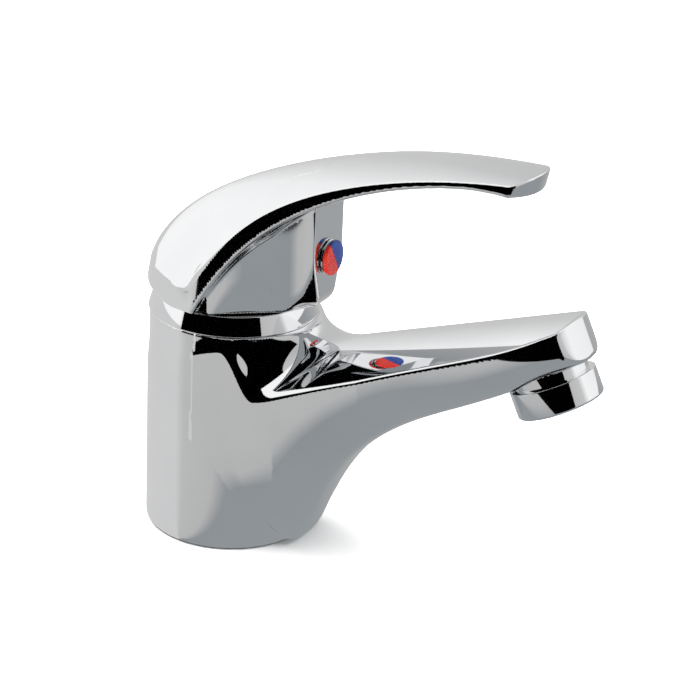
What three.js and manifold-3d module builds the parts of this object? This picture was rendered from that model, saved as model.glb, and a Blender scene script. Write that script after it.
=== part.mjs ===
// Single-lever basin mixer: cast body with a rising spout, lever, 35 mm ceramic cartridge and aerator.
// Millimetres. +Z is up, +X is the way the spout points, the origin is the middle of the base.
import * as THREE from 'three';
import { mergeVertices } from 'three/addons/utils/BufferGeometryUtils.js';
import Module from 'manifold-3d';

const wasm = await Module();
wasm.setup();

// ---------- driving dimensions ----------
const GAP = 0.3;                       // play between pieces that touch

const BASE_RADIUS = 23.8;              // column
const SEAT_HEIGHT = 64.3;              // top of the casting, where the cover ring sits
const SADDLE_RADIUS = 15;              // hollow where the spout meets the column, in the middle
const SADDLE_EDGE_RADIUS = 10;         // and at its sides
const SHOULDER_RISE = 14;              // sides of the spout's top sweep up to the ring by this much

const SPOUT_TOP_HEIGHT = 67.2;         // top face of the spout at SPOUT_TOP_AT
const SPOUT_TOP_AT = 50;
const SPOUT_RISE = 0.347;              // slope of the top face
const SPOUT_CROWN = 33;                // radius of the crown across the top face
const SPOUT_WIDE = 20.5;               // half width at SPOUT_TOP_AT
const SPOUT_TAPER = 0.135;             // half width lost per millimetre ahead of that
const ROOT_TAPER = 0.072;              // and behind it
const TURN_IN = 0.0003;                // how fast the sides turn in at the tip
const TURN_IN_FROM = 76;
const SPOUT_FRONT = 102.6;             // middle of the top edge of the front face
const SPOUT_NOSE = 16;                 // radius of the front face seen from above
const FLARE_START = 25.75;             // the underside flares out of the column from here
const FLARE_RISE = 48.3;
const FLARE_LENGTH = 17.65;
const UNDER_CLIMB = 0.13;              // slope of the underside beyond the flare
const UNDER_CURVE = 0.0045;            // and its curve towards the outlet
const UNDER_CURVE_FROM = 45;
const SECTION_POWER = 2.6;             // squareness of the spout's section

const AERATOR_TILT = 26 * Math.PI / 180;   // the stream is thrown forward by this much
const AERATOR_RIM = [99.8, 0, 59.9];       // middle of the outlet rim
const AERATOR_RADIUS = 12;
const AERATOR_HEIGHT = 7.6;

const RING_TOP = 69.8;
const RING_TOP_RADIUS = 22.4;
const RING_FOOT_RADIUS = 24;

const LEVER_FOOT = 70.1;               // lower rim of the lever
const LEVER_TIP = 90.2;                // how far forward the lever reaches
const CREST_TIP = 92.4;                // where the curve of the crest ends
const LEVER_WIDEST = 74.1;             // height of the lever's widest place
const LEVER_CREST = 47.8;              // rise from there to the end of the crest
const LEVER_BACK = 24.7;               // how far back the lever reaches
const LEVER_SIDE = 24.7;               // half width of the dome
const RIM_HEIGHT = 76.5;               // side edge round the back
const EDGE_DROP = 22.2;                // side edge below the crest beside the stem
const EDGE_CLIMB = 16.5;               // how slowly it climbs to the paddle
const EDGE_THIN = 2;                   // side edge below the crest on the paddle
const PADDLE_WIDE = 9.3;               // half width that the paddle narrows to
const PADDLE_NARROWING = 57.5;         // how slowly it narrows
const BAND_LEAN = 0.1;                 // the band below the side edge leans out
const PADDLE_THIN = 1.9;               // least thickness
const PADDLE_THIN_AT = 70;
const PADDLE_END_RADIUS = 14.5;        // rounded end, seen from above
const SKIRT_RADIUS = 22.9;
const NECK_FRONT = 29;                 // front panel of the neck
const NECK_WIDE = 8;                   // its half width
const FLUTE_RADIUS = 5;                // hollow on each side of the neck
const RELIEF_RADIUS = 22.9;            // room inside the rear rim, which swings past the cover ring
const RELIEF_FRONT = 4.5;

const PIVOT_HEIGHT = 50;               // axis that the lever tilts on
const BUTTON_HEIGHT = 85.2;
const BUTTON_RADIUS = 4.9;

const BUTTON_FACE = 31.1;
const PLUG_RADIUS = 3.9;
const GRUB_RADIUS = 2.4;

const BORE_RADIUS = 17.7;
const BORE_FLOOR = 26;
const CARTRIDGE_RADIUS = 17.2;
const STEM_SIDE = 8;
const STEM_TOP = 88.5;

const CARTRIDGE_TOP = 57.7;
const HOUSING_WALL = 1.6;
const SHAFT_RADIUS = 10.7;             // turret that turns in the top of the cartridge
const PIN_RADIUS = 1.4;
const TIP_RADIUS = 2.4;                // foot of the stem, which pushes the moving disc
const NUT_TOP = 66.5;
const NUT_HOLE = 12.5;
const INLETS = [[-4, -8.5], [-4, 8.5]];    // hot, cold
const OUTLET = [9.5, 0];
const PORT_RADIUS = 3.2;
const INLET_RADIUS = 4.2;              // M10 hose thread
const STUD_AT = -13;
const STUD_RADIUS = 3.4;               // M8 fixing stud thread
const RECESS_RADIUS = 19;              // hollow under the base
const RECESS_TOP = 14;
const RIB_START = -7;
const RIB_HALF = 2.5;
const GASKET_INNER = 22;
const GASKET_OUTER = 23.4;
const GASKET_THICK = 1.5;
const WATERWAY_RADIUS = 3.8;
const WATERWAY_LOW = 21;
const WATERWAY_BEND = [30, 0, 38];
const AERATOR_NECK = 10.2;             // threaded neck inside the spout
const AERATOR_BORE_TOP = 14;
const FAR = 200;

// ---------- finishes ----------
function finish(color, roughness, metalness) {
  return new THREE.MeshStandardMaterial({ color, roughness, metalness });
}
const CHROME = finish('#d4d6d8', 0.06, 1);
const STEEL = finish('#a7aaad', 0.3, 1);
const BRASS = finish('#c8a256', 0.35, 1);
const CERAMIC = finish('#e9e6df', 0.25, 0);
const GREY_PLASTIC = finish('#8f959b', 0.5, 0);
const WHITE_PLASTIC = finish('#e6e6e3', 0.45, 0);
const RUBBER = finish('#1e1f21', 0.75, 0);
const RED = finish('#d22a1e', 0.35, 0);
const BLUE = finish('#27408f', 0.35, 0);

// ---------- solids ----------
const group = new THREE.Group();

/** Closed geometry to a manifold solid. */
function solid(geometry) {
  const bare = geometry.clone();
  bare.deleteAttribute('normal');
  bare.deleteAttribute('uv');
  const merged = mergeVertices(bare, 1e-4);
  const vertProperties = new Float32Array(merged.attributes.position.array);
  const triVerts = new Uint32Array(merged.index.array);
  return new wasm.Manifold(new wasm.Mesh({ numProp: 3, vertProperties, triVerts }));
}

/** Manifold solid back to a geometry. */
function geometryOf(shape) {
  const mesh = shape.getMesh();
  const geometry = new THREE.BufferGeometry();
  geometry.setAttribute('position', new THREE.BufferAttribute(mesh.vertProperties, 3));
  geometry.setIndex(new THREE.BufferAttribute(mesh.triVerts, 1));
  geometry.computeVertexNormals();
  return geometry;
}

function add(name, shape, material) {
  const mesh = new THREE.Mesh(geometryOf(shape), material);
  mesh.name = name;
  group.add(mesh);
}

/** Turned solid on the Z axis from [radius, height] pairs, anticlockwise from the foot. */
function turned(profile, sides = 32) {
  const points = [...profile, profile[0]].map(([radius, height]) => new THREE.Vector2(radius, height));
  return solid(new THREE.LatheGeometry(points, sides).rotateX(Math.PI / 2));
}

function disc(radius, low, high, sides = 32) {
  return turned([[0, low], [radius, low], [radius, high], [0, high]], sides);
}

function tube(inner, outer, low, high, sides = 32) {
  return turned([[inner, low], [outer, low], [outer, high], [inner, high]], sides);
}

/** Round rubber ring lying flat. */
function seal(radius, thickness, height, sides = 32) {
  const geometry = new THREE.TorusGeometry(radius, thickness / 2, 6, sides);
  return solid(geometry.translate(0, 0, height));
}

function block(low, high) {
  const size = high.map((value, axis) => value - low[axis]);
  const middle = high.map((value, axis) => (value + low[axis]) / 2);
  return solid(new THREE.BoxGeometry(...size).translate(...middle));
}

/** Round bar between two points. */
function bar(from, to, radius, sides = 16) {
  const start = new THREE.Vector3(...from);
  const along = new THREE.Vector3(...to).sub(start);
  const geometry = new THREE.CylinderGeometry(radius, radius, along.length(), sides);
  const turn = new THREE.Quaternion().setFromUnitVectors(new THREE.Vector3(0, 1, 0), along.clone().normalize());
  geometry.applyQuaternion(turn);
  const middle = start.clone().addScaledVector(along, 0.5);
  return solid(geometry.translate(middle.x, middle.y, middle.z));
}

/** Moves a solid made along Z onto the axis of the aerator, with height 0 at the outlet rim. */
function onAerator(shape) {
  return shape.rotate([0, -AERATOR_TILT * 180 / Math.PI, 0]).translate(AERATOR_RIM);
}

// ---------- shaping with distance fields ----------
/** Larger of two distances, with the edge between them rounded to a radius. */
function roundMax(a, b, radius) {
  const corner = Math.hypot(Math.max(radius + a, 0), Math.max(radius + b, 0));
  return Math.min(-radius, Math.max(a, b)) + corner;
}

/** Smaller of two distances, with a hollow fillet of a radius between them. */
function roundMin(a, b, radius) {
  return -roundMax(-a, -b, radius);
}

/** 0 below the first value, 1 above the second, smooth between. */
function ease(from, to, value) {
  const t = Math.min(1, Math.max(0, (value - from) / (to - from)));
  return t * t * (3 - 2 * t);
}

/** Direction in which a field grows, and how fast. */
function slopeOf(field, x, y, z) {
  const step = 0.01;
  return [
    (field(x + step, y, z) - field(x - step, y, z)) / (2 * step),
    (field(x, y + step, z) - field(x, y - step, z)) / (2 * step),
    (field(x, y, z + step) - field(x, y, z - step)) / (2 * step),
  ];
}

/** Moves a point onto the surface where the field is zero. */
function settle(field, point) {
  let [x, y, z] = point;
  for (let pass = 0; pass < 6; pass += 1) {
    const value = field(x, y, z);
    const [gx, gy, gz] = slopeOf(field, x, y, z);
    const square = Math.max(gx * gx + gy * gy + gz * gz, 0.04);
    x -= value * gx / square;
    y -= value * gy / square;
    z -= value * gz / square;
  }
  const moved = Math.hypot(x - point[0], y - point[1], z - point[2]);
  return moved < 2 ? [x, y, z] : point;
}

/** Net drawn over the surface of a field: one corner in each grid cell that the surface crosses. */
function netted(field, low, high, cell) {
  const count = low.map((value, axis) => Math.ceil((high[axis] - value) / cell[axis]) + 1);
  const at = (i, j, k) => (k * count[1] + j) * count[0] + i;
  const place = (i, j, k) => [low[0] + i * cell[0], low[1] + j * cell[1], low[2] + k * cell[2]];
  const values = new Float32Array(count[0] * count[1] * count[2]);
  for (let k = 0; k < count[2]; k += 1) {
    for (let j = 0; j < count[1]; j += 1) {
      for (let i = 0; i < count[0]; i += 1) values[at(i, j, k)] = field(...place(i, j, k));
    }
  }
  const positions = [];
  const cornerOf = new Map();
  const corner = (i, j, k) => {
    const key = at(i, j, k);
    if (cornerOf.has(key)) return cornerOf.get(key);
    const sum = [0, 0, 0];
    let crossings = 0;
    for (let axis = 0; axis < 3; axis += 1) {
      for (let side = 0; side < 4; side += 1) {
        const start = [i, j, k];
        start[(axis + 1) % 3] += side & 1;
        start[(axis + 2) % 3] += side >> 1;
        const end = [...start];
        end[axis] += 1;
        const a = values[at(...start)];
        const b = values[at(...end)];
        if ((a < 0) === (b < 0)) continue;
        const from = place(...start);
        from[axis] += cell[axis] * a / (a - b);
        from.forEach((value, index) => { sum[index] += value; });
        crossings += 1;
      }
    }
    const number = positions.length / 3;
    positions.push(...settle(field, sum.map((value) => value / crossings)));
    cornerOf.set(key, number);
    return number;
  };
  const index = [];
  for (let k = 1; k < count[2] - 1; k += 1) {
    for (let j = 1; j < count[1] - 1; j += 1) {
      for (let i = 1; i < count[0] - 1; i += 1) {
        for (let axis = 0; axis < 3; axis += 1) {
          const end = [i, j, k];
          end[axis] += 1;
          const inside = values[at(i, j, k)] < 0;
          if (inside === (values[at(...end)] < 0)) continue;
          const around = [[0, 0], [1, 0], [1, 1], [0, 1]].map(([p, q]) => {
            const where = [i, j, k];
            where[(axis + 1) % 3] -= p;
            where[(axis + 2) % 3] -= q;
            return corner(...where);
          });
          if (!inside) around.reverse();
          index.push(around[0], around[1], around[2], around[0], around[2], around[3]);
        }
      }
    }
  }
  const geometry = new THREE.BufferGeometry();
  geometry.setAttribute('position', new THREE.Float32BufferAttribute(positions, 3));
  geometry.setIndex(index);
  return solid(geometry);
}

// ---------- body casting ----------
/** Height of the spout's top face along the middle. */
function spoutTop(x) {
  return SPOUT_TOP_HEIGHT + SPOUT_RISE * (x - SPOUT_TOP_AT);
}

/** Half width of the spout's top face: a slow taper that turns in at the tip. */
function spoutWide(x) {
  const behind = ROOT_TAPER * (SPOUT_TOP_AT - Math.min(SPOUT_TOP_AT, Math.max(0, x)));
  const ahead = SPOUT_TAPER * Math.max(0, x - SPOUT_TOP_AT);
  const turnIn = TURN_IN * Math.max(0, x - TURN_IN_FROM) ** 3;
  return Math.max(SPOUT_WIDE + behind - ahead - turnIn, 4);
}

/** Height of the underside: it flares out from the foot, then follows the spout. */
function spoutUnder(x) {
  const flare = FLARE_RISE * (1 - Math.exp(-Math.max(0, x - FLARE_START) / FLARE_LENGTH));
  const climb = UNDER_CLIMB * Math.max(0, x - 30);
  const curve = UNDER_CURVE * Math.max(0, x - UNDER_CURVE_FROM) ** 2;
  return flare + climb + curve;
}

/** Round sides and belly of the spout, as a field; it starts inside the column. */
function bellyField(x, y, z) {
  const below = Math.max(spoutTop(x) - z, 0);
  const depth = Math.max(spoutTop(x) - spoutUnder(x), 8);
  const wide = spoutWide(x - ease(60, 90, x) * below * Math.tan(AERATOR_TILT));
  const across = Math.abs(y) / wide;
  const down = below / depth;
  const round = (across ** SECTION_POWER + down ** SECTION_POWER) ** (1 / SECTION_POWER);
  return Math.max((round - 1) * Math.min(wide, depth), 2 - x);
}

/** Front face of the spout, square to its slope and slightly bowed. */
function frontField(x, y, z) {
  const forward = (x - SPOUT_FRONT) * Math.cos(AERATOR_TILT)
    + (z - spoutTop(SPOUT_FRONT)) * Math.sin(AERATOR_TILT);
  return forward + y * y / (2 * SPOUT_NOSE);
}

/** Crowned top face of the spout; beside the column its edges sweep up to the ring. */
function topField(x, y, z) {
  const across = Math.min((y / spoutWide(x)) ** 2, 1.3);
  const sweep = SHOULDER_RISE * (1 - ease(10, 19.5, x)) * across;
  const height = spoutTop(x) - y * y / (2 * SPOUT_CROWN) + sweep;
  return (z - height) / Math.hypot(1, SPOUT_RISE);
}

/** Axis of the aerator, from the outlet rim up into the spout. */
function alongAerator(distance) {
  return [
    AERATOR_RIM[0] - Math.sin(AERATOR_TILT) * distance,
    AERATOR_RIM[1],
    AERATOR_RIM[2] + Math.cos(AERATOR_TILT) * distance,
  ];
}

function bodyField(x, y, z) {
  const column = roundMax(Math.hypot(x, y) - BASE_RADIUS, z - SEAT_HEIGHT - 8, 2);
  const outward = Math.min((y / spoutWide(x)) ** 2, 1);
  const hollow = SADDLE_RADIUS - (SADDLE_RADIUS - SADDLE_EDGE_RADIUS) * outward;
  const saddle = roundMin(column, topField(x, y, z), hollow);
  const sides = Math.min(column, bellyField(x, y, z));
  const creaseRadius = 0.8 + 1.2 * ease(45, 15, x) + 1.5 * ease(12, 0, x);
  const spout = roundMax(saddle, roundMax(sides, frontField(x, y, z), 0.8), creaseRadius);
  return Math.max(roundMin(column, spout, 2.5), -z - 5);
}

/** Hollow under the base for the hoses and the stud, with a rib across its front half. */
function baseRecess() {
  const rib = block([RIB_START, -RIB_HALF, -2], [RECESS_RADIUS + 1, RIB_HALF, RECESS_TOP + 1]);
  return disc(RECESS_RADIUS, -1, RECESS_TOP, 36).subtract(rib);
}

function bodyCasting() {
  const outer = netted(bodyField, [-31.4, -36, -12], [118, 36, 96], [4, 4, 4]);
  const outletSeat = onAerator(disc(AERATOR_RADIUS + 0.4, -AERATOR_RADIUS, AERATOR_HEIGHT + GAP));
  const cuts = [
    block([-FAR, -FAR, SEAT_HEIGHT], [BASE_RADIUS + 3, FAR, FAR]),
    block([-FAR, -FAR, -FAR], [FAR, FAR, 0]),
    outletSeat,
    disc(BORE_RADIUS, BORE_FLOOR, FAR, 36),
    baseRecess(),
    tube(GASKET_INNER - 0.1, GASKET_OUTER + 0.1, -1, GASKET_THICK + 0.1, 36),
    bar([STUD_AT, 0, RECESS_TOP - 1], [STUD_AT, 0, BORE_FLOOR - 4], STUD_RADIUS),
    ...INLETS.map(([x, y]) => bar([x, y, RECESS_TOP - 1], [x, y, BORE_FLOOR + 1], INLET_RADIUS)),
    bar([OUTLET[0], 0, WATERWAY_LOW], [OUTLET[0], 0, BORE_FLOOR + 1], PORT_RADIUS + 0.6),
    bar([OUTLET[0], 0, WATERWAY_LOW], WATERWAY_BEND, WATERWAY_RADIUS),
    solid(new THREE.SphereGeometry(WATERWAY_RADIUS, 16, 8).translate(...WATERWAY_BEND)),
    bar(WATERWAY_BEND, alongAerator(AERATOR_BORE_TOP - 3), WATERWAY_RADIUS),
    onAerator(disc(AERATOR_NECK + 0.2, AERATOR_HEIGHT, AERATOR_BORE_TOP)),
  ];
  return cuts.reduce((body, cut) => body.subtract(cut), outer);
}

function baseGasket() {
  return tube(GASKET_INNER, GASKET_OUTER, 0, GASKET_THICK, 36);
}

// ---------- lever ----------
/** Height of the lever's crest along the middle. */
function leverCrest(x) {
  const back = Math.min(1, Math.max(0, (CREST_TIP - x) / (CREST_TIP + LEVER_BACK)));
  return LEVER_WIDEST + LEVER_CREST * (1 - back ** 1.83) ** 0.54;
}

/** Half width of the lever seen from above: round behind, narrowing to the paddle in front. */
function leverWide(x) {
  if (x < 0) return LEVER_SIDE * Math.sqrt(Math.max(1 - (x / LEVER_BACK) ** 2, 0.01));
  const forward = x / PADDLE_NARROWING;
  return PADDLE_WIDE + (LEVER_SIDE - PADDLE_WIDE) * Math.exp(-(forward ** 2.09));
}

/** Larger of two heights, with the kink between them eased. */
function smoothMax(a, b, blend) {
  return (a + b + Math.hypot(a - b, blend)) / 2;
}

/** Height of the side edge: level round the back, then rising beside the paddle. */
function edgeHeight(x) {
  const rising = leverCrest(x) - EDGE_DROP * Math.exp(-x / EDGE_CLIMB) - EDGE_THIN;
  return smoothMax(RIM_HEIGHT, rising, 3);
}

/** Height of the lever's upper surface. */
function leverSurface(x, y) {
  const drop = Math.max(leverCrest(x) - edgeHeight(x), 0);
  return leverCrest(x) - drop * Math.min((y / leverWide(x)) ** 2, 2.5);
}

/** Height of the band below the side edge, which is also the paddle's thickness. */
function bandHeight(x) {
  const spread = x < PADDLE_THIN_AT ? 24 : 13.5;
  return PADDLE_THIN + ((x - PADDLE_THIN_AT) / spread) ** 2;
}

function shellField(x, y, z) {
  const step = 0.05;
  const slopeX = (leverSurface(x + step, y) - leverSurface(x - step, y)) / (2 * step);
  const slopeY = (leverSurface(x, y + step) - leverSurface(x, y - step)) / (2 * step);
  const top = (z - leverSurface(x, y)) / Math.hypot(1, slopeX, slopeY);
  const edge = edgeHeight(x);
  const lean = BAND_LEAN * Math.max(0, edge - z) * ease(-4, 6, x);
  const plan = x < 0
    ? Math.hypot(x * LEVER_SIDE / LEVER_BACK, y) - LEVER_SIDE
    : Math.abs(y) - leverWide(x) - lean;
  const end = x - LEVER_TIP + y * y / (2 * PADDLE_END_RADIUS);
  const under = Math.max(edge - bandHeight(x), LEVER_FOOT) - z;
  const outline = roundMax(plan, end, 1.2);
  const lidded = roundMax(outline, top, 0.6 + 2.4 * ease(3, -9, x));
  return roundMax(lidded, under, 0.7 + 3.2 * ease(6, -6, x));
}

/** Skirt on the ring, and the neck with its front panel between two flutes. */
function skirtField(x, y, z) {
  const skirt = Math.hypot(x, y) - SKIRT_RADIUS;
  const narrow = NECK_WIDE - 0.28 * Math.max(0, 86 - z);
  const chamfer = (Math.abs(y) - narrow + 0.8 * (x - NECK_FRONT)) / Math.hypot(1, 0.8);
  const panel = Math.max(roundMax(x - NECK_FRONT, Math.abs(y) - NECK_WIDE, 0.5), -x);
  const outline = roundMax(roundMin(skirt, panel, FLUTE_RADIUS), Math.min(chamfer, skirt + 3), 0.5);
  const foot = roundMax(outline, LEVER_FOOT - z, 1.5 + 3.5 * ease(21, 26, x));
  return Math.max(foot, z - (leverSurface(x, y) - 1));
}

function leverField(x, y, z) {
  return roundMin(shellField(x, y, z), skirtField(x, y, z), 1.5);
}

/** Hollow under the dome, wider at the back so that the rim swings past the cover ring. */
function leverHollow() {
  const dome = turned([[0, 60], [21, 60], [21, 78], [12, 88], [0, 88]], 36);
  const relief = disc(RELIEF_RADIUS, 60, 75, 48);
  return dome.add(relief.intersect(block([-FAR, -FAR, 0], [RELIEF_FRONT, FAR, FAR])));
}

function leverHandle() {
  const outer = netted(leverField, [-33.5, -30.6, 66.3], [98, 30.6, 126], [3.4, 3.4, 1.5]);
  const socket = STEM_SIDE / 2 + 0.15;
  return outer
    .subtract(block([-FAR, -FAR, 0], [FAR, FAR, LEVER_FOOT]))
    .subtract(leverHollow())
    .add(disc(STEM_SIDE, 73, STEM_TOP + 3))
    .subtract(block([-socket, -socket, 72], [socket, socket, STEM_TOP + 0.3]))
    .subtract(bar([0, 0, BUTTON_HEIGHT], [NECK_FRONT + 2, 0, BUTTON_HEIGHT], GRUB_RADIUS + 0.2))
    .subtract(bar([NECK_FRONT - 6, 0, BUTTON_HEIGHT], [NECK_FRONT + 2, 0, BUTTON_HEIGHT], PLUG_RADIUS + 0.2));
}

function stem() {
  const half = STEM_SIDE / 2;
  const shank = block([-half, -half, PIVOT_HEIGHT - half], [half, half, STEM_TOP]);
  const tip = bar([0, 0, PIVOT_HEIGHT - 10.5], [0, 0, PIVOT_HEIGHT], TIP_RADIUS);
  const hole = bar([0, -half - 1, PIVOT_HEIGHT], [0, half + 1, PIVOT_HEIGHT], PIN_RADIUS + 0.2);
  return shank.add(tip).subtract(hole);
}

function grubScrew() {
  const from = STEM_SIDE / 2 + 0.3;
  const screw = bar([from, 0, BUTTON_HEIGHT], [from + 6, 0, BUTTON_HEIGHT], GRUB_RADIUS);
  const key = bar([from + 3.5, 0, BUTTON_HEIGHT], [from + 7, 0, BUTTON_HEIGHT], 1.3, 6);
  return screw.subtract(key);
}

/** Chrome plug in the neck, with the rim that frames the two colours. */
function indexPlug() {
  const plug = bar([NECK_FRONT - 5.5, 0, BUTTON_HEIGHT], [NECK_FRONT + 0.8, 0, BUTTON_HEIGHT], PLUG_RADIUS);
  const rim = bar([NECK_FRONT + 0.3, 0, BUTTON_HEIGHT], [NECK_FRONT + 0.9, 0, BUTTON_HEIGHT], BUTTON_RADIUS, 32);
  return plug.add(rim);
}

/** Half of the button's face: side -1 is hot, side 1 is cold. */
function indexHalf(side) {
  const from = NECK_FRONT + 0.95;
  const face = bar([from, 0, BUTTON_HEIGHT], [BUTTON_FACE, 0, BUTTON_HEIGHT], BUTTON_RADIUS, 32);
  const low = side < 0 ? [from - 1, -FAR, 0] : [from - 1, 0.03, 0];
  const high = side < 0 ? [FAR, -0.03, FAR] : [FAR, FAR, FAR];
  return face.intersect(block(low, high));
}

// ---------- ring, nut and cartridge ----------
function coverRing() {
  const low = SEAT_HEIGHT + 0.05;
  const ring = turned([[18.6, low], [RING_FOOT_RADIUS, low], [RING_TOP_RADIUS + 0.1, RING_TOP - 0.4],
    [RING_TOP_RADIUS - 0.3, RING_TOP], [18.6, RING_TOP]], 48);
  return ring.subtract(tube(19, 21, SEAT_HEIGHT, SEAT_HEIGHT + 1.2, 36));
}

function retainingNut() {
  const thread = disc(CARTRIDGE_RADIUS + 0.2, CARTRIDGE_TOP + GAP, 63.5, 36);
  const hexagon = disc(CARTRIDGE_RADIUS, 63.5, NUT_TOP, 6);
  return thread.add(hexagon).subtract(disc(NUT_HOLE, 50, 70));
}

/** Three port holes, in the places that line up from the body to the discs. */
function ports(radius, low, high) {
  const holes = [...INLETS, OUTLET].map(([x, y]) => bar([x, y, low], [x, y, high], radius));
  return holes[0].add(holes[1]).add(holes[2]);
}

function cartridgeBase() {
  return disc(CARTRIDGE_RADIUS, BORE_FLOOR + 0.2, 30.9, 36)
    .subtract(ports(PORT_RADIUS, 20, 40))
    .subtract(ports(6, 20, BORE_FLOOR + 1.8));
}

function portSeal([x, y]) {
  return seal(4.9, 1.4, BORE_FLOOR + 0.95).translate([x, y, 0]);
}

function cartridgeHousing() {
  const inner = CARTRIDGE_RADIUS - HOUSING_WALL;
  return turned([[inner, 31.2], [CARTRIDGE_RADIUS, 31.2], [CARTRIDGE_RADIUS, CARTRIDGE_TOP],
    [SHAFT_RADIUS + 0.3, CARTRIDGE_TOP], [SHAFT_RADIUS + 0.3, 55.7], [inner, 55.7]], 36);
}

function fixedDisc() {
  return disc(15.2, 31.2, 34, 36).subtract(ports(3, 30, 35));
}

function movingDisc() {
  const cavity = disc(5, 34, 36).scale([1.5, 1, 1]).translate([1.5, 0, 0]);
  return disc(11.5, 34.3, 37).subtract(cavity);
}

function discCarrier() {
  return disc(11.7, 37.3, 43).subtract(block([-4.2, -2.8, 38.6], [4.2, 2.8, 44]));
}

function stemRotor() {
  const shaft = turned([[0, 43.6], [15.2, 43.6], [15.2, 46], [SHAFT_RADIUS, 46], [SHAFT_RADIUS, 56],
    [SHAFT_RADIUS - 1.1, 56], [SHAFT_RADIUS - 1.1, 57.3], [SHAFT_RADIUS, 57.3], [SHAFT_RADIUS, 60], [0, 60]], 40);
  const half = STEM_SIDE / 2 + 0.4;
  return shaft
    .subtract(block([-9.4, -half, 40], [7.6, half, 61]))
    .subtract(bar([0, -SHAFT_RADIUS, PIVOT_HEIGHT], [0, SHAFT_RADIUS, PIVOT_HEIGHT], PIN_RADIUS + 0.1));
}

function pivotPin() {
  const reach = SHAFT_RADIUS - 0.8;
  return bar([0, -reach, PIVOT_HEIGHT], [0, reach, PIVOT_HEIGHT], PIN_RADIUS);
}

// ---------- aerator ----------
function aeratorHousing() {
  return onAerator(turned([[8.6, 0], [AERATOR_RADIUS - 0.4, 0], [AERATOR_RADIUS, 0.5],
    [AERATOR_RADIUS, AERATOR_HEIGHT], [AERATOR_NECK, AERATOR_HEIGHT], [AERATOR_NECK, 12.4],
    [9.5, 12.4], [9.5, 1.4], [8.6, 1.4]], 36));
}

/** Plastic cage that mixes air into the stream: a pierced disc on a short skirt. */
function aeratorInsert() {
  let cage = tube(8.2, 9.3, 1.6, 8).add(disc(9.3, 5, 6.4));
  for (let ring = 1; ring <= 2; ring += 1) {
    for (let hole = 0; hole < ring * 6; hole += 1) {
      const turn = hole / (ring * 6) * 2 * Math.PI;
      const place = [Math.cos(turn) * ring * 3, Math.sin(turn) * ring * 3];
      cage = cage.subtract(bar([...place, 4], [...place, 7], 0.8, 8));
    }
  }
  return onAerator(cage);
}

/** Stainless screen across the outlet, as a lattice of flat bars in a rim. */
function aeratorScreen() {
  let screen = tube(7.6, 8, 1.7, 2.5);
  for (let line = -4; line <= 4; line += 1) {
    const place = line * 1.6;
    const reach = Math.sqrt(7.8 ** 2 - place ** 2);
    screen = screen.add(block([place - 0.25, -reach, 1.8], [place + 0.25, reach, 2.2]));
    screen = screen.add(block([-reach, place - 0.25, 1.9], [reach, place + 0.25, 2.3]));
  }
  return onAerator(screen);
}

function aeratorWasher() {
  return onAerator(tube(8, 10.1, 12.6, 13.8));
}

add('body_casting', bodyCasting(), CHROME);
add('base_gasket', baseGasket(), RUBBER);
add('cover_ring', coverRing(), CHROME);
add('ring_seal', seal(20, 1, SEAT_HEIGHT + 0.6), RUBBER);
add('retaining_nut', retainingNut(), BRASS);
add('cartridge_base', cartridgeBase(), GREY_PLASTIC);
add('port_seal_hot', portSeal(INLETS[0]), RUBBER);
add('port_seal_cold', portSeal(INLETS[1]), RUBBER);
add('port_seal_outlet', portSeal(OUTLET), RUBBER);
add('cartridge_housing', cartridgeHousing(), WHITE_PLASTIC);
add('fixed_disc', fixedDisc(), CERAMIC);
add('moving_disc', movingDisc(), CERAMIC);
add('disc_carrier', discCarrier(), GREY_PLASTIC);
add('stem_rotor', stemRotor(), WHITE_PLASTIC);
add('rotor_seal', seal(SHAFT_RADIUS - 0.5, 0.9, 56.65), RUBBER);
add('pivot_pin', pivotPin(), STEEL);
add('stem', stem(), BRASS);
add('lever_handle', leverHandle(), CHROME);
add('grub_screw', grubScrew(), STEEL);
add('index_plug', indexPlug(), CHROME);
add('index_red', indexHalf(-1), RED);
add('index_blue', indexHalf(1), BLUE);
add('aerator_housing', aeratorHousing(), CHROME);
add('aerator_insert', aeratorInsert(), WHITE_PLASTIC);
add('aerator_screen', aeratorScreen(), STEEL);
add('aerator_washer', aeratorWasher(), RUBBER);

export default group;
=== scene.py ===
"""Basin mixer tap: chrome body and lever drawn as fine nets over smooth fields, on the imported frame."""
import math

import bmesh
import bpy
import numpy as np
from mathutils import Matrix, Vector


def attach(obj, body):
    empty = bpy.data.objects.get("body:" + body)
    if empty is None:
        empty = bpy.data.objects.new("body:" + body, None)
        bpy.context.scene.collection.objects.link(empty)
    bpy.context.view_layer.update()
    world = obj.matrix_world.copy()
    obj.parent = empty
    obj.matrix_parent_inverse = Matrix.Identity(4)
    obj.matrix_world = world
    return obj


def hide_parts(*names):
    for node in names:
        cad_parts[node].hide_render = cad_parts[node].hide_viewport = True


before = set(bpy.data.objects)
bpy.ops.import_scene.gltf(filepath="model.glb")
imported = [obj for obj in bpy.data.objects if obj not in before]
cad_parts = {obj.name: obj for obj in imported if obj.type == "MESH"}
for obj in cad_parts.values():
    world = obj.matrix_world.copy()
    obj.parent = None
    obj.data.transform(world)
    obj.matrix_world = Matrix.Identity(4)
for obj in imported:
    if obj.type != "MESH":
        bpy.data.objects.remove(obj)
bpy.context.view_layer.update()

MM = 0.001

# ---------- driving dimensions, in millimetres ----------
GAP = 0.3                      # play between pieces that touch
BASE_RADIUS = 23.4             # column
FOOT_RADIUS = 1.6              # rounding round the foot
SEAT_HEIGHT = 64.3             # top of the casting, where the cover ring sits
SADDLE_RADIUS = 15.0           # hollow where the spout meets the column, in the middle
SADDLE_EDGE_RADIUS = 10.0      # and at its sides
SHOULDER_RISE = 14.0           # the sides of the spout's top sweep up to the ring by this much
SHOULDER = (9.5, 20.0)         # the sweep ends between these places

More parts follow.
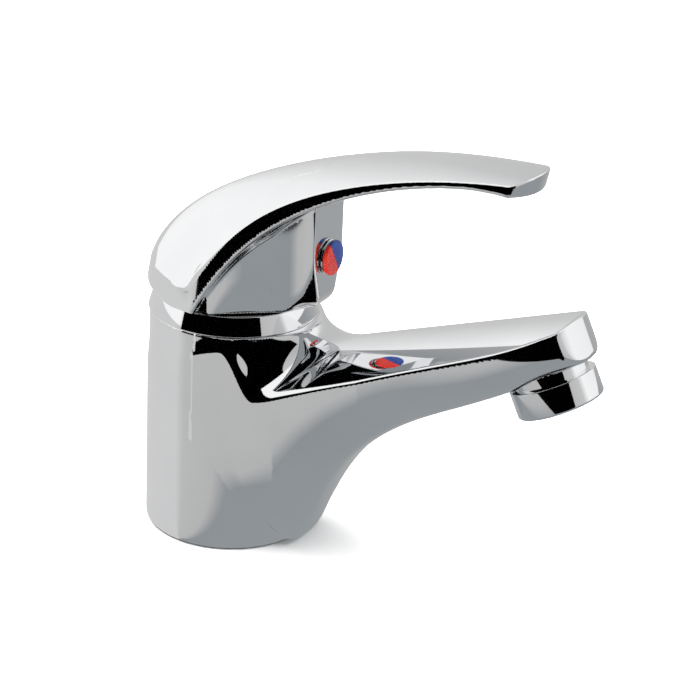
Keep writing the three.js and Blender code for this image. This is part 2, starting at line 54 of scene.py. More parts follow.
SPOUT_TOP_HEIGHT = 67.2        # top face of the spout at SPOUT_TOP_AT
SPOUT_TOP_AT = 50.0
SPOUT_RISE = 0.347             # slope of the top face
SPOUT_CROWN = 33.0             # radius of the crown across it
SPOUT_WIDE = 20.5              # half width at SPOUT_TOP_AT
ROOT_TAPER = 0.072             # half width gained per millimetre behind that
SPOUT_TAPER = 0.135            # and lost ahead of it
TURN_IN = 3.0e-4               # how fast the sides turn in at the tip
TURN_IN_FROM = 76
SPOUT_FRONT = 102.6            # middle of the top edge of the front face
SPOUT_NOSE = 16.0              # radius of the front face seen from above
FLARE_START = 25.75            # the underside flares out of the column from here
FLARE_RISE = 48.3
FLARE_LENGTH = 17.65
UNDER_CLIMB = 0.13             # slope of the underside beyond the flare
UNDER_CLIMB_FROM = 30
UNDER_CURVE = 0.0045           # and its curve towards the outlet
UNDER_CURVE_FROM = 45
SECTION_POWER = 2.6            # squareness of the spout's section
TIP_POWER = 0.9                # added to it near the tip

AERATOR_TILT = math.radians(26.0)
AERATOR_RIM = (99.8, 0.0, 59.9)
AERATOR_RADIUS = 12.0
AERATOR_HEIGHT = 7.6
AERATOR_SLEEVE = 11.76         # outside of the chrome sleeve
AERATOR_LIP = 8.7              # hole in its foot
AERATOR_NECK = (9.6, 10.1)     # inside and outside of its threaded neck
AERATOR_NECK_TOP = 12.3
AERATOR_BORE = 10.4            # hole for the neck in the spout
AERATOR_BORE_TOP = 14

RING_TOP = 69.8
RING_TOP_RADIUS = 22.4
RING_FOOT_RADIUS = 24.0
RING_HOLE = 18.7

LEVER_FOOT = 70.1              # lower rim of the lever
LEVER_TIP = 90.2               # how far forward the lever reaches
CREST_TIP = 92.4               # where the curve of the crest ends
LEVER_BACK = 24.5              # how far back the lever reaches
LEVER_SIDE = 24.5              # half width of the dome
LEVER_WIDEST = 74.1            # height of the lever's widest place
LEVER_CREST = 47.6             # rise from there to the end of the crest
PADDLE_WIDE = 9.3              # half width that the paddle narrows to
PADDLE_NARROWING = 57.5        # how slowly it narrows
RIM_HEIGHT = 76.5              # side edge round the back
EDGE_DROP = 22.2               # side edge below the crest beside the stem
EDGE_CLIMB = 16.5              # how slowly it climbs to the paddle
EDGE_THIN = 2                  # side edge below the crest on the paddle
BAND_LEAN = 0.09               # the band below the side edge leans out
PADDLE_THIN = 1.9              # least thickness
PADDLE_THIN_AT = 70.0
PADDLE_END_RADIUS = 14.5       # rounded end, seen from above
END_TILT = 0.2                 # slant of the end face
HOLLOW_RADIUS = 21             # hollow under the dome
HOLLOW_TOP = 88
SKIRT_RADIUS = 22.9
NECK_FRONT = 29.0              # front panel of the neck
NECK_WIDE = 8.0                # its half width
NECK_CHAMFER = 0.8             # slope of the flats beside the neck
FLUTE_RADIUS = 5.0             # hollow on each side of the neck
RELIEF_RADIUS = 22.9           # room inside the rear rim, which swings past the cover ring
RELIEF_FRONT = 4.5

BUTTON_HEIGHT = 85.2
BUTTON_RADIUS = 4.9
BUTTON_FACE = 31.1
BUTTON_TURN = math.radians(30) # slant of the line between the two colours
PLUG_RADIUS = 3.85

BORE_RADIUS = 17.7
BORE_FLOOR = 26.0
RECESS_RADIUS = 19.0
RECESS_TOP = 14.0

NET_CELL = 0.6

# ---------- view and light ----------
VIEW_AZIMUTH = math.radians(27.9)
VIEW_ELEVATION = math.radians(23.45)
VIEW_ROLL = math.radians(-2.7)
VIEW_DISTANCE = 605.0
VIEW_TARGET = (36.9, 0.0, 59.7)
FOCAL_LENGTH = 114.43

# Brightness by azimuth in degrees: 0 is -Y and 90 is +X.
WALLS = ((-180, 0.57), (-158, 0.57), (-148, 0.62), (-128, 0.95), (-110, 1.02), (-45, 1.02), (-35, 0.6),
         (45, 0.5), (60, 0.52), (90, 0.6), (105, 1.0), (150, 0.95), (165, 0.62))
# Painted reflection of the table for the chrome, by azimuth; the darker stops from 45 to 135 are the
# spout's shadow on the table, painted.
TABLE_REFLECTION_WITH_SHADOW = ((-180, 0.55), (-165, 0.57), (-150, 0.62), (-120, 0.66), (-50, 0.66), (-36, 0.54), (20, 0.5),
         (45, (0.30, 0.32, 0.335)), (135, (0.31, 0.33, 0.345)), (165, 0.45))
GLOW_CENTRE = (-2.4, -24.0, 0.0)
STAGE_REACH = 3000
DARK_AZIMUTH = (-40, 66)
DARK_DISTANCE = (272, 900)
DARK_HEIGHT = (1, 1700)
TOP_ENERGY = 110


# ---------- smooth fields: negative inside, zero on the surface ----------
def round_max(a, b, radius):
    """Larger of two distances, with the edge between them rounded."""
    corner = np.hypot(np.maximum(radius + a, 0), np.maximum(radius + b, 0))
    return np.minimum(-radius, np.maximum(a, b)) + corner


def round_min(a, b, radius):
    """Smaller of two distances, with a hollow fillet between them."""
    return -round_max(-a, -b, radius)


def ease(start, end, value):
    t = np.clip((value - start) / (end - start), 0, 1)
    return t * t * (3 - 2 * t)


def spout_top(x):
    return SPOUT_TOP_HEIGHT + SPOUT_RISE * (x - SPOUT_TOP_AT)


def spout_wide(x):
    """Half width of the spout's top face: a slow taper that turns in at the tip."""
    behind = ROOT_TAPER * (SPOUT_TOP_AT - np.clip(x, 0, SPOUT_TOP_AT))
    ahead = SPOUT_TAPER * np.maximum(0, x - SPOUT_TOP_AT)
    turn_in = TURN_IN * np.maximum(0, x - TURN_IN_FROM) ** 3
    return np.maximum(SPOUT_WIDE + behind - ahead - turn_in, 4)


def spout_under(x):
    """Height of the underside: it flares out from the foot, then follows the spout."""
    flare = FLARE_RISE * (1 - np.exp(-np.maximum(0, x - FLARE_START) / FLARE_LENGTH))
    climb = UNDER_CLIMB * np.maximum(0, x - UNDER_CLIMB_FROM)
    curve = UNDER_CURVE * np.maximum(0, x - UNDER_CURVE_FROM) ** 2
    return flare + climb + curve


def belly_field(x, y, z):
    """Round sides and belly of the spout; they start inside the column."""
    top = spout_top(x)
    below = np.maximum(top - z, 0)
    depth = np.maximum(top - spout_under(x), 8)
    wide = spout_wide(x - ease(60, 90, x) * below * math.tan(AERATOR_TILT))
    across = np.abs(y) / wide
    down = below / depth
    power = SECTION_POWER + TIP_POWER * ease(55, 85, x)
    round_ = (across ** power + down ** power) ** (1 / power)
    return np.maximum((round_ - 1) * np.minimum(wide, depth), 2 - x)


def front_field(x, y, z):
    """Front face of the spout, square to its slope and slightly bowed."""
    rise = z - spout_top(SPOUT_FRONT)
    forward = (x - SPOUT_FRONT) * math.cos(AERATOR_TILT) + rise * math.sin(AERATOR_TILT)
    return forward + y * y / (2 * SPOUT_NOSE)


def top_field(x, y, z):
    """Crowned top face; beside the column its edges sweep up to the ring."""
    across = np.minimum((y / spout_wide(x)) ** 2, 1.3)
    sweep = SHOULDER_RISE * (1 - ease(*SHOULDER, x)) * across
    height = spout_top(x) - y * y / (2 * SPOUT_CROWN) + sweep
    return (z - height) / math.hypot(1, SPOUT_RISE)


def aerator_frame(x, y, z):
    """Distance from the aerator's axis, and height along it from the outlet rim."""
    dx, dz = x - AERATOR_RIM[0], z - AERATOR_RIM[2]
    along = -dx * math.sin(AERATOR_TILT) + dz * math.cos(AERATOR_TILT)
    side = dx * math.cos(AERATOR_TILT) + dz * math.sin(AERATOR_TILT)
    return np.hypot(side, y), along


def body_field(x, y, z):
    """Column, spout and the hollows in them."""
    column = round_max(np.hypot(x, y) - BASE_RADIUS, z - SEAT_HEIGHT - 8, 2.0)
    outward = np.minimum((y / spout_wide(x)) ** 2, 1)
    hollow = SADDLE_RADIUS - (SADDLE_RADIUS - SADDLE_EDGE_RADIUS) * outward
    saddle = round_min(column, top_field(x, y, z), hollow)
    radius, along = aerator_frame(x, y, z)
    sides = np.minimum(column, belly_field(x, y, z))
    crease = 0.8 + 1.2 * ease(45, 15, x) + 1.5 * ease(12, 0, x)
    spout = round_max(saddle, round_max(sides, front_field(x, y, z), 0.8), crease)
    outer = round_max(round_min(column, spout, 2.5), -z, FOOT_RADIUS)
    outlet_seat = np.minimum(AERATOR_HEIGHT + GAP - along, AERATOR_RADIUS + 0.4 - radius)
    outer = round_max(outer, outlet_seat, 0.3)
    seat = np.minimum(z - SEAT_HEIGHT, BASE_RADIUS + 3 - x)
    outer = round_max(outer, seat, 0.4)
    bore = np.maximum(np.hypot(x, y) - BORE_RADIUS, BORE_FLOOR - z)
    recess = np.maximum(np.hypot(x, y) - RECESS_RADIUS, z - RECESS_TOP)
    neck = np.maximum(radius - AERATOR_BORE, along - AERATOR_BORE_TOP)
    return np.maximum(np.maximum(outer, -bore), np.maximum(-recess, -neck))


def lever_crest(x):
    """Height of the lever's crest along the middle."""
    back = np.clip((CREST_TIP - x) / (CREST_TIP + LEVER_BACK), 0, 1)
    return LEVER_WIDEST + LEVER_CREST * (1 - back ** 1.83) ** 0.54


def lever_wide(x):
    """Half width of the lever from above: round behind, narrowing to the paddle in front."""
    forward = np.maximum(x, 0) / PADDLE_NARROWING
    paddle = PADDLE_WIDE + (LEVER_SIDE - PADDLE_WIDE) * np.exp(-forward ** 2.09)
    behind = LEVER_SIDE * np.sqrt(np.maximum(1 - (np.minimum(x, 0) / LEVER_BACK) ** 2, 0.01))
    return np.where(x < 0, behind, paddle)


def smooth_max(a, b, blend):
    """Larger of two heights, with the kink between them eased."""
    return (a + b + np.sqrt((a - b) ** 2 + blend ** 2)) / 2


def edge_height(x):
    """Height of the side edge: level round the back, then rising beside the paddle."""
    rising = lever_crest(x) - EDGE_DROP * np.exp(-x / EDGE_CLIMB) - EDGE_THIN
    return smooth_max(RIM_HEIGHT, rising, 3.0)


def edge_drop(x):
    """How far the side edge lies below the crest."""
    return np.maximum(lever_crest(x) - edge_height(x), 0)


def band_height(x):
    """Height of the band below the side edge, which is also the paddle's thickness."""
    spread = np.where(x < PADDLE_THIN_AT, 24.0, 13.5)
    return PADDLE_THIN + ((x - PADDLE_THIN_AT) / spread) ** 2


def lever_surface(x, y):
    """Height of the lever's upper surface."""
    return lever_crest(x) - edge_drop(x) * np.minimum((y / lever_wide(x)) ** 2, 2.5)


def shell_field(x, y, z):
    """Dome and paddle: the lever without its skirt and neck."""
    surface = lever_surface(x, y)
    step = 0.05
    slope_x = (lever_surface(x + step, y) - lever_surface(x - step, y)) / (2 * step)
    slope_y = (lever_surface(x, y + step) - lever_surface(x, y - step)) / (2 * step)
    top = (z - surface) / np.sqrt(1 + slope_x ** 2 + slope_y ** 2)
    edge = edge_height(x)
    lean = BAND_LEAN * np.clip(edge - z, 0, 8) * ease(-4, 2, x)
    behind = np.hypot(x * LEVER_SIDE / LEVER_BACK, y) - LEVER_SIDE
    plan = np.where(x < 0, behind, np.abs(y) - lever_wide(np.maximum(x, 0))) - lean
    slant = END_TILT * np.clip(lever_crest(x) - z, 0, 6)
    end = x - LEVER_TIP + y * y / (2 * PADDLE_END_RADIUS) + slant
    under = np.maximum(edge - band_height(x), LEVER_FOOT) - z
    outline = round_max(plan, end, 1.2)
    lidded = round_max(outline, top, 0.6 + 2.4 * ease(-4, -13, x))
    return round_max(lidded, under, 1.1 + 2.4 * ease(-5, -13, x))


def skirt_field(x, y, z):
    """Skirt on the ring, and the neck with its front panel between two flutes."""
    skirt = np.hypot(x, y) - SKIRT_RADIUS
    narrow = NECK_WIDE - 0.28 * np.maximum(0, 86 - z)
    chamfer = (np.abs(y) - narrow + NECK_CHAMFER * (x - NECK_FRONT)) / math.hypot(1, NECK_CHAMFER)
    panel = round_max(x - NECK_FRONT, np.abs(y) - NECK_WIDE, 0.5)
    panel = np.maximum(panel, -x)
    outline = round_max(round_min(skirt, panel, FLUTE_RADIUS), np.minimum(chamfer, skirt + 3), 0.5)
    top = z - (lever_surface(x, y) - 1)
    foot = LEVER_FOOT - z
    return np.maximum(round_max(outline, foot, 0.6 + 4.4 * ease(21, 26, x)), top)


def lever_field(x, y, z):
    """Whole lever, hollow under the dome, with the boss for the stem and the hole for the plug."""
    outer = round_min(shell_field(x, y, z), skirt_field(x, y, z), 1.5)
    radius = np.hypot(x, y)
    wall = radius - HOLLOW_RADIUS + 2.5 * ease(2, 8, x)
    ceiling = (z - HOLLOW_TOP + 0.9 * (radius - 12)) * 0.75
    relief = np.maximum(np.maximum(radius - RELIEF_RADIUS, z - 75), x - RELIEF_FRONT)
    hollow = np.minimum(np.maximum(np.maximum(wall, ceiling), z - HOLLOW_TOP), relief)
    boss = np.maximum(np.maximum(radius - 8, 73 - z), z - 91.5)
    plug = np.maximum(np.hypot(y, z - BUTTON_HEIGHT) - 4.1, NECK_FRONT - 6 - x)
    return np.maximum(np.minimum(np.maximum(outer, -hollow), boss), -plug)


# ---------- nets ----------
def slope_of(field, points):
    """Gradient of a field at each point."""
    step = 0.02
    columns = []
    for axis in range(3):
        ahead, back = points.copy(), points.copy()
        ahead[:, axis] += step
        back[:, axis] -= step
        columns.append((field(*ahead.T) - field(*back.T)) / (2 * step))
    return np.stack(columns, axis=1)


def settle(field, points, passes):
    """Moves points onto the surface where the field is zero."""
    for _ in range(passes):
        slope = slope_of(field, points)
        square = np.maximum((slope ** 2).sum(1), 0.1)
        push = field(*points.T) / square
        points = points - slope * np.clip(push, -0.4, 0.4)[:, None]
    return points


def window(array, offset, size):
    """Part of a 3-D array that starts at an offset."""
    return array[tuple(slice(o, o + n) for o, n in zip(offset, size))]


def net(field, low, high, cell):
    """Corners and quads of a net over the zero surface of a field."""
    axes = [np.arange(a, b + cell, cell) for a, b in zip(low, high)]
    values = field(*np.meshgrid(*axes, indexing="ij"))
    inside = values < 0
    size = tuple(n - 1 for n in values.shape)
    total = np.zeros(size + (3,))
    crossings = np.zeros(size)
    for axis in range(3):
        for side in range(4):
            offset = [0, 0, 0]
            offset[(axis + 1) % 3] = side & 1
            offset[(axis + 2) % 3] = side >> 1
            ahead = list(offset)
            ahead[axis] += 1
            a, b = window(values, offset, size), window(values, ahead, size)
            crossed = window(inside, offset, size) != window(inside, ahead, size)
            share = np.where(crossed, a / np.where(crossed, a - b, 1), 0)
            crossings += crossed
            for index in range(3):
                total[..., index] += crossed * offset[index] + (share if index == axis else 0)
    held = crossings > 0
    number = np.full(size, -1)
    number[held] = np.arange(held.sum())
    corners = total[held] / crossings[held][:, None] + np.argwhere(held)
    corners = corners * cell + np.array(low)
    quads = []
    for axis in range(3):
        b, c = (axis + 1) % 3, (axis + 2) % 3
        near = [1, 1, 1]
        ahead = [1, 1, 1]
        ahead[axis] = 2
        span = tuple(n - 2 for n in values.shape)
        first, second = window(inside, near, span), window(inside, ahead, span)
        where = np.argwhere(first != second) + 1
        start_inside = first[first != second]
        ring = []
        for p, q in ((0, 0), (1, 0), (1, 1), (0, 1)):
            cellat = where.copy()
            cellat[:, b] -= p
            cellat[:, c] -= q
            ring.append(number[tuple(cellat.T)])
        ring = np.stack(ring, axis=1)
        ring[~start_inside] = ring[~start_inside][:, ::-1]
        quads.append(ring)
    return corners, np.concatenate(quads)


def relaxed(field, corners, quads, rounds):
    """Evens out the net along the surface."""
    for _ in range(rounds):
        total = np.zeros_like(corners)
        count = np.zeros(len(corners))
        for side in range(4):
            np.add.at(total, quads[:, side], corners[quads[:, side - 1]])
            np.add.at(count, quads[:, side], 1)
        corners = corners * 0.5 + total / count[:, None] * 0.5
        corners = settle(field, corners, 2)
    return corners


def netted_piece(name, field, low, high, material):
    corners, quads = net(field, low, high, NET_CELL)
    corners = relaxed(field, settle(field, corners, 4), quads, 3)
    normals = slope_of(field, corners)
    normals /= np.maximum(np.linalg.norm(normals, axis=1), 1e-9)[:, None]
    mesh = bpy.data.meshes.new(name)
    mesh.from_pydata((corners * MM).tolist(), [], quads.tolist())
    mesh.update()
    mesh.polygons.foreach_set("use_smooth", [True] * len(quads))
    mesh.normals_split_custom_set_from_vertices(normals.tolist())
    return placed(name, mesh, material)


def placed(name, mesh, material):
    piece = bpy.data.objects.new(name, mesh)
    bpy.context.scene.collection.objects.link(piece)
    mesh.materials.append(material)
    return piece


# ---------- materials ----------
def new_material(name):
    material = bpy.data.materials.new(name)
    material.use_nodes = True
    return material, material.node_tree, material.node_tree.nodes["Principled BSDF"]


def noise(tree, scale, detail=3.0, stretch=(1, 1, 1)):
    """Noise in the row frame, so that it has the same size on every piece."""
    place = tree.nodes.new("ShaderNodeTexCoord")
    mapping = tree.nodes.new("ShaderNodeMapping")
    mapping.inputs["Scale"].default_value = stretch
    texture = tree.nodes.new("ShaderNodeTexNoise")
    texture.inputs["Scale"].default_value = scale
    texture.inputs["Detail"].default_value = detail
    tree.links.new(place.outputs["Object"], mapping.inputs["Vector"])
    tree.links.new(mapping.outputs["Vector"], texture.inputs["Vector"])
    return texture.outputs["Fac"]


def spread(tree, value, low, high):
    """Maps the middle of a noise onto a range."""
    ranged = tree.nodes.new("ShaderNodeMapRange")
    ranged.inputs["From Min"].default_value = 0.3
    ranged.inputs["From Max"].default_value = 0.7
    ranged.inputs["To Min"].default_value = low
    ranged.inputs["To Max"].default_value = high
    tree.links.new(value, ranged.inputs["Value"])
    return ranged.outputs["Result"]


def tinted(tree, value, dark, light):
    ramp = tree.nodes.new("ShaderNodeValToRGB")
    ramp.color_ramp.elements[0].position = 0.3
    ramp.color_ramp.elements[0].color = (*dark, 1)
    ramp.color_ramp.elements[1].position = 0.7
    ramp.color_ramp.elements[1].color = (*light, 1)
    tree.links.new(value, ramp.inputs["Fac"])
    return ramp.outputs["Color"]


def surface(name, dark, light, grain, rough, metallic=0.0, bump=0.0, stretch=(1, 1, 1)):
    """Material whose colour, roughness and relief vary with a noise of the given grain."""
    material, tree, shader = new_material(name)
    value = noise(tree, grain, stretch=stretch)
    tree.links.new(tinted(tree, value, dark, light), shader.inputs["Base Color"])
    tree.links.new(spread(tree, noise(tree, grain * 0.4), *rough), shader.inputs["Roughness"])
    shader.inputs["Metallic"].default_value = metallic
    if bump:
        relief = tree.nodes.new("ShaderNodeBump")
        relief.inputs["Strength"].default_value = bump
        relief.inputs["Distance"].default_value = 0.0002
        tree.links.new(value, relief.inputs["Height"])
        tree.links.new(relief.outputs["Normal"], shader.inputs["Normal"])
    return material


CHROME = surface("chrome_plate", (0.865, 0.87, 0.88), (0.9, 0.905, 0.912), 60, (0.03, 0.05), 1.0, 0.006)
STEEL = surface("stainless", (0.5, 0.51, 0.52), (0.66, 0.67, 0.68), 900, (0.22, 0.34), 1.0, 0.15)
BRASS = surface("raw_brass", (0.56, 0.4, 0.16), (0.74, 0.56, 0.26), 500, (0.25, 0.4), 1.0, 0.2)
CERAMIC = surface("ceramic", (0.78, 0.76, 0.72), (0.86, 0.85, 0.82), 700, (0.15, 0.25))
GREY_PLASTIC = surface("grey_plastic", (0.25, 0.27, 0.29), (0.31, 0.33, 0.35), 800, (0.4, 0.5), 0, 0.1)
WHITE_PLASTIC = surface("white_plastic", (0.74, 0.74, 0.72), (0.82, 0.82, 0.8), 800, (0.35, 0.45), 0, 0.1)
RUBBER = surface("black_rubber", (0.012, 0.012, 0.014), (0.03, 0.03, 0.032), 1200, (0.6, 0.75), 0, 0.4)
RED = surface("hot_red", (0.66, 0.02, 0.012), (0.78, 0.04, 0.02), 500, (0.22, 0.3), 0, 0.04)
BLUE = surface("cold_blue", (0.012, 0.045, 0.27), (0.02, 0.07, 0.36), 500, (0.22, 0.3), 0, 0.04)

NODE_FINISHES = {
    "base_gasket": RUBBER, "ring_seal": RUBBER, "retaining_nut": BRASS, "cartridge_base": GREY_PLASTIC,
    "port_seal_hot": RUBBER, "port_seal_cold": RUBBER, "port_seal_outlet": RUBBER,
    "cartridge_housing": WHITE_PLASTIC, "fixed_disc": CERAMIC, "moving_disc": CERAMIC,
    "disc_carrier": GREY_PLASTIC, "stem_rotor": WHITE_PLASTIC, "rotor_seal": RUBBER, "pivot_pin": STEEL,
    "stem": BRASS, "grub_screw": STEEL, "aerator_insert": WHITE_PLASTIC, "aerator_screen": STEEL,
    "aerator_washer": RUBBER,
}


# ---------- turned pieces ----------
def turned_piece(name, profile, material, sides=160, half=None):
    """Turned solid on Z from (radius, height) pairs; half keeps one side of y = 0."""
    shape = bmesh.new()
    points = [shape.verts.new((radius * MM, 0, height * MM)) for radius, height in profile]
    edges = [shape.edges.new(pair) for pair in zip(points, points[1:] + points[:1])]
    bmesh.ops.spin(shape, geom=points + edges, cent=(0, 0, 0), axis=(0, 0, 1), angle=2 * math.pi,
                   steps=sides, use_duplicate=False)
    bmesh.ops.remove_doubles(shape, verts=shape.verts, dist=1e-6)
    if half:
        cut = bmesh.ops.bisect_plane(shape, geom=shape.verts[:] + shape.edges[:] + shape.faces[:],
                                     plane_co=(0, half * 0.03 * MM, 0), plane_no=(0, -half, 0),
                                     clear_outer=True)
        open_edges = [item for item in cut["geom_cut"] if isinstance(item, bmesh.types.BMEdge)]
        bmesh.ops.holes_fill(shape, edges=open_edges)
    bmesh.ops.recalc_face_normals(shape, faces=shape.faces)
    mesh = bpy.data.meshes.new(name)
    shape.to_mesh(mesh)
    shape.free()
    mesh.polygons.foreach_set("use_smooth", [True] * len(mesh.polygons))
    mesh.set_sharp_from_angle(angle=math.radians(28))
    return placed(name, mesh, material)


def rounded(profile, radii, steps=5):
    """Outline with each corner rounded to its radius; 0 keeps the corner."""
    points = [np.array(point, float) for point in profile]
    result = []
    for index, (corner, radius) in enumerate(zip(points, radii)):
        if not radius:
            result.append(tuple(corner))
            continue
        to_last = points[index - 1] - corner
        to_next = points[(index + 1) % len(points)] - corner
        to_last /= np.linalg.norm(to_last)
        to_next /= np.linalg.norm(to_next)
        half_angle = math.acos(np.clip(to_last @ to_next, -1, 1)) / 2
        inward = (to_last + to_next) / np.linalg.norm(to_last + to_next)
        middle = corner + inward * radius / math.sin(half_angle)
        start = corner + to_last * radius / math.tan(half_angle) - middle
        end = corner + to_next * radius / math.tan(half_angle) - middle
        for step in range(steps + 1):
            mixed = start * (1 - step / steps) + end * (step / steps)
            result.append(tuple(middle + mixed / np.linalg.norm(mixed) * radius))
    return result


def on_aerator(piece):
    """Turns a piece made on Z onto the aerator's axis, with height 0 at the outlet rim."""
    piece.matrix_world = (Matrix.Translation(Vector(AERATOR_RIM) * MM)
                          @ Matrix.Rotation(-AERATOR_TILT, 4, "Y"))


def on_button(piece):
    """Turns a piece made on Z so that it faces forward from the neck's panel."""
    place = Matrix.Translation(Vector((NECK_FRONT, 0, BUTTON_HEIGHT)) * MM)
    forward = Matrix.Rotation(math.pi / 2, 4, "Y")
    piece.matrix_world = place @ forward @ Matrix.Rotation(BUTTON_TURN, 4, "Z")


def finished(piece, body, slot, *nodes):
    """Joins a piece to its body and hides the CAD nodes that it stands for; slot is not used."""
    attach(piece, body)
    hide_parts(*nodes)
    return piece


def cover_ring():
    low = SEAT_HEIGHT + 0.05
    high = RING_TOP - 0.02
    profile = [(RING_HOLE, low), (RING_FOOT_RADIUS, low), (RING_TOP_RADIUS, high), (RING_HOLE, high)]
    return turned_piece("cover_ring_chrome", rounded(profile, [0.3, 0.25, 0.4, 0.3]), CHROME, 256)


def index_rim():
    """Chrome plug in the neck, with the rim behind the two colours."""
    rim = BUTTON_RADIUS - 0.02
    profile = [(0, -5.4), (PLUG_RADIUS, -5.4), (PLUG_RADIUS, 0.35), (rim, 0.35), (rim, 0.88), (0, 0.88)]
    return turned_piece("index_rim", rounded(profile, [0, 0.3, 0, 0.1, 0.2, 0]), CHROME, 96)


def index_face(name, side, material):
    """Half of the button's face: side -1 is hot, side 1 is cold."""
    rim = BUTTON_RADIUS - 0.02
    face = BUTTON_FACE - NECK_FRONT - 0.02
    profile = [(0, 0.97), (rim, 0.97), (rim, face), (0, face)]
    return turned_piece(name, rounded(profile, [0, 0.08, 0.4, 0]), material, 96, side)


def aerator_shell():
    inner, outer = AERATOR_NECK
    shoulder = AERATOR_HEIGHT - 0.05
    profile = [(AERATOR_LIP, 0.05), (AERATOR_SLEEVE, 0.05), (AERATOR_SLEEVE, shoulder), (outer, shoulder),
               (outer, AERATOR_NECK_TOP), (inner, AERATOR_NECK_TOP), (inner, 1.5), (AERATOR_LIP, 1.5)]
    outline = rounded(profile, [0.3, 0.7, 0.3, 0, 0.2, 0.2, 0.2, 0.2])
    return turned_piece("aerator_shell", outline, CHROME, 192)


# ---------- the object ----------
finished(netted_piece("body_chrome", body_field, (-26, -25.5, -1), (110, 25.5, 88), CHROME),
         "body", "chrome_plate", "body_casting")
finished(netted_piece("lever_chrome", lever_field, (-27, -27, 69), (93, 27, 124), CHROME),
         "lever", "chrome_plate", "lever_handle")
finished(cover_ring(), "body", "chrome_plate", "cover_ring")
for piece, node, slot in ((index_rim(), "index_plug", "chrome_plate"),
                          (index_face("index_hot", -1, RED), "index_red", "hot_red"),
                          (index_face("index_cold", 1, BLUE), "index_blue", "cold_blue")):
    on_button(piece)
    finished(piece, "lever", slot, node)
aerator = aerator_shell()
on_aerator(aerator)
finished(aerator, "body", "chrome_plate", "aerator_housing")

for node, material in NODE_FINISHES.items():
    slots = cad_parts[node].data.materials
    slots.clear()
    slots.append(material)

# ---------- camera ----------
away = Vector((math.sin(VIEW_AZIMUTH) * math.cos(VIEW_ELEVATION),
               -math.cos(VIEW_AZIMUTH) * math.cos(VIEW_ELEVATION), math.sin(VIEW_ELEVATION)))
across = Vector((math.cos(VIEW_AZIMUTH), math.sin(VIEW_AZIMUTH), 0))
upward = away.cross(across)
right = across * math.cos(VIEW_ROLL) - upward * math.sin(VIEW_ROLL)
up = across * math.sin(VIEW_ROLL) + upward * math.cos(VIEW_ROLL)
camera = bpy.data.objects.new("camera", bpy.data.cameras.new("camera"))
bpy.context.scene.collection.objects.link(camera)
camera.data.lens = FOCAL_LENGTH
camera.data.sensor_width = 36
camera.data.clip_start = 0.01
camera.matrix_world = Matrix.Translation((Vector(VIEW_TARGET) + away * VIEW_DISTANCE) * MM) @ Matrix(
    (right, up, away)).transposed().to_4x4()
bpy.context.scene.camera = camera


# ---------- stage ----------
def emitter(name, color, strength):
    material = bpy.data.materials.new(name)
    material.use_nodes = True
    tree = material.node_tree
    tree.nodes.clear()
    glow = tree.nodes.new("ShaderNodeEmission")
    glow.inputs["Color"].default_value = (*color, 1)
    glow.inputs["Strength"].default_value = strength
    end = tree.nodes.new("ShaderNodeOutputMaterial")
    tree.links.new(glow.outputs["Emission"], end.inputs["Surface"])
    return material


def sheet(name):
    """Large flat sheet, facing up."""
    mesh = bpy.data.meshes.new(name)
    reach = STAGE_REACH * MM
    corners = [(-reach, -reach, 0), (reach, -reach, 0), (reach, reach, 0), (-reach, reach, 0)]
    mesh.from_pydata(corners, [], [(0, 1, 2, 3)])
    return mesh


def floor():
    mesh = sheet("floor")
    material = surface("floor_paper", (0.9, 0.9, 0.9), (0.92, 0.92, 0.92), 40, (0.7, 0.8))
    piece = placed("floor", mesh, material)
    piece.location.z = -0.2 * MM


def ramp_stops(ramp, stops):
    """Colour ramp from (position, brightness or colour) pairs."""
    while len(ramp.elements) < len(stops):
        ramp.elements.new(1.0)
    for element, (position, color) in zip(ramp.elements, stops):
        element.position = position
        element.color = (*color, 1) if isinstance(color, tuple) else (color, color, color, 1)


def turn_stops(walls):
    """Ramp stops from (azimuth in degrees, brightness) pairs; the radial gradient starts at -X."""
    return sorted((((azimuth + 90) % 360) / 360, value) for azimuth, value in walls)


def studio_light():
    """Pale walls by direction: a bright box on the left, a softer one on the right and behind."""
    world = bpy.data.worlds.new("studio")
    bpy.context.scene.world = world
    world.use_nodes = True
    tree = world.node_tree
    background = tree.nodes["Background"]
    place = tree.nodes.new("ShaderNodeTexCoord")
    radial = tree.nodes.new("ShaderNodeTexGradient")
    radial.gradient_type = "RADIAL"
    ramp = tree.nodes.new("ShaderNodeValToRGB")
    ramp_stops(ramp.color_ramp, turn_stops(WALLS))
    tree.links.new(place.outputs["Generated"], radial.inputs["Vector"])
    tree.links.new(radial.outputs["Color"], ramp.inputs["Fac"])
    path = tree.nodes.new("ShaderNodeLightPath")
    seen = tree.nodes.new("ShaderNodeMix")
    seen.data_type = "RGBA"
    seen.inputs["B"].default_value = (1, 1, 1, 1)
    tree.links.new(path.outputs["Is Camera Ray"], seen.inputs["Factor"])
    tree.links.new(ramp.outputs["Color"], seen.inputs["A"])
    tree.links.new(seen.outputs["Result"], background.inputs["Color"])
    background.inputs["Strength"].default_value = 1.0


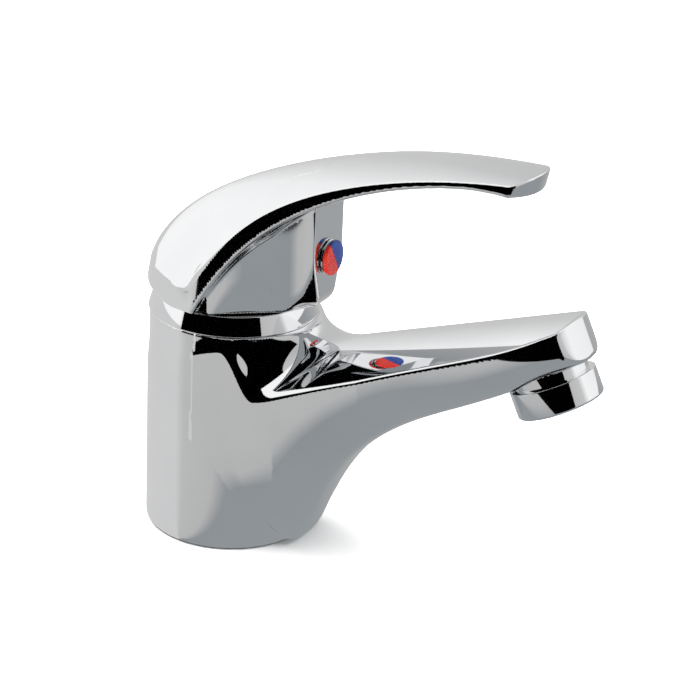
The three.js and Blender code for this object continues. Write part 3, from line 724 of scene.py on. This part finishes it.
def painted_table_reflection():
    """Painted reflection of the table for the chrome: pale in front, with the spout's shadow painted
    darker under the spout.
    """
    mesh = sheet("painted_table_reflection")
    material = emitter("painted_table_reflection", (1, 1, 1), 1)
    tree = material.node_tree
    place = tree.nodes.new("ShaderNodeTexCoord")
    radial = tree.nodes.new("ShaderNodeTexGradient")
    radial.gradient_type = "RADIAL"
    ramp = tree.nodes.new("ShaderNodeValToRGB")
    ramp_stops(ramp.color_ramp, turn_stops(TABLE_REFLECTION_WITH_SHADOW))
    tree.links.new(place.outputs["Object"], radial.inputs["Vector"])
    tree.links.new(radial.outputs["Color"], ramp.inputs["Fac"])
    tree.links.new(ramp.outputs["Color"], tree.nodes["Emission"].inputs["Color"])
    piece = placed("painted_table_reflection", mesh, material)
    piece.location = Vector(GLOW_CENTRE) * MM
    only_reflected(piece)


def only_reflected(piece):
    piece.visible_camera = False
    piece.visible_diffuse = False
    piece.visible_shadow = False


def sector(name, start, end, near, far, low, high, material):
    """Black screen on the table and standing at its far edge, between two azimuths."""
    mesh = bpy.data.meshes.new(name)
    corners, faces = [], []
    steps = 12
    for step in range(steps + 1):
        angle = math.radians(start + (end - start) * step / steps)
        x, y = math.sin(angle), -math.cos(angle)
        corners += [(x * near, y * near, low), (x * far, y * far, low), (x * far, y * far, high)]
    for step in range(steps):
        a, b = step * 3, step * 3 + 3
        faces += [(a, b, b + 1, a + 1), (a + 1, b + 1, b + 2, a + 2)]
    mesh.from_pydata((np.array(corners) * MM).tolist(), [], faces)
    only_reflected(placed(name, mesh, material))


def top_light():
    """Large lamp overhead for the table; the chrome doesn't show it."""
    data = bpy.data.lights.new("top_lamp", "AREA")
    data.size = 2.5
    data.energy = TOP_ENERGY
    lamp = bpy.data.objects.new("top_lamp", data)
    lamp.location = (0, 0, 1.8)
    lamp.visible_glossy = False
    bpy.context.scene.collection.objects.link(lamp)


bpy.context.scene.view_settings.view_transform = "Standard"
floor()
studio_light()
top_light()
painted_table_reflection()
BLACK = emitter("black_card", (0, 0, 0), 0)
sector("dark_room", *DARK_AZIMUTH, *DARK_DISTANCE, *DARK_HEIGHT, BLACK)

bpy.context.view_layer.update()
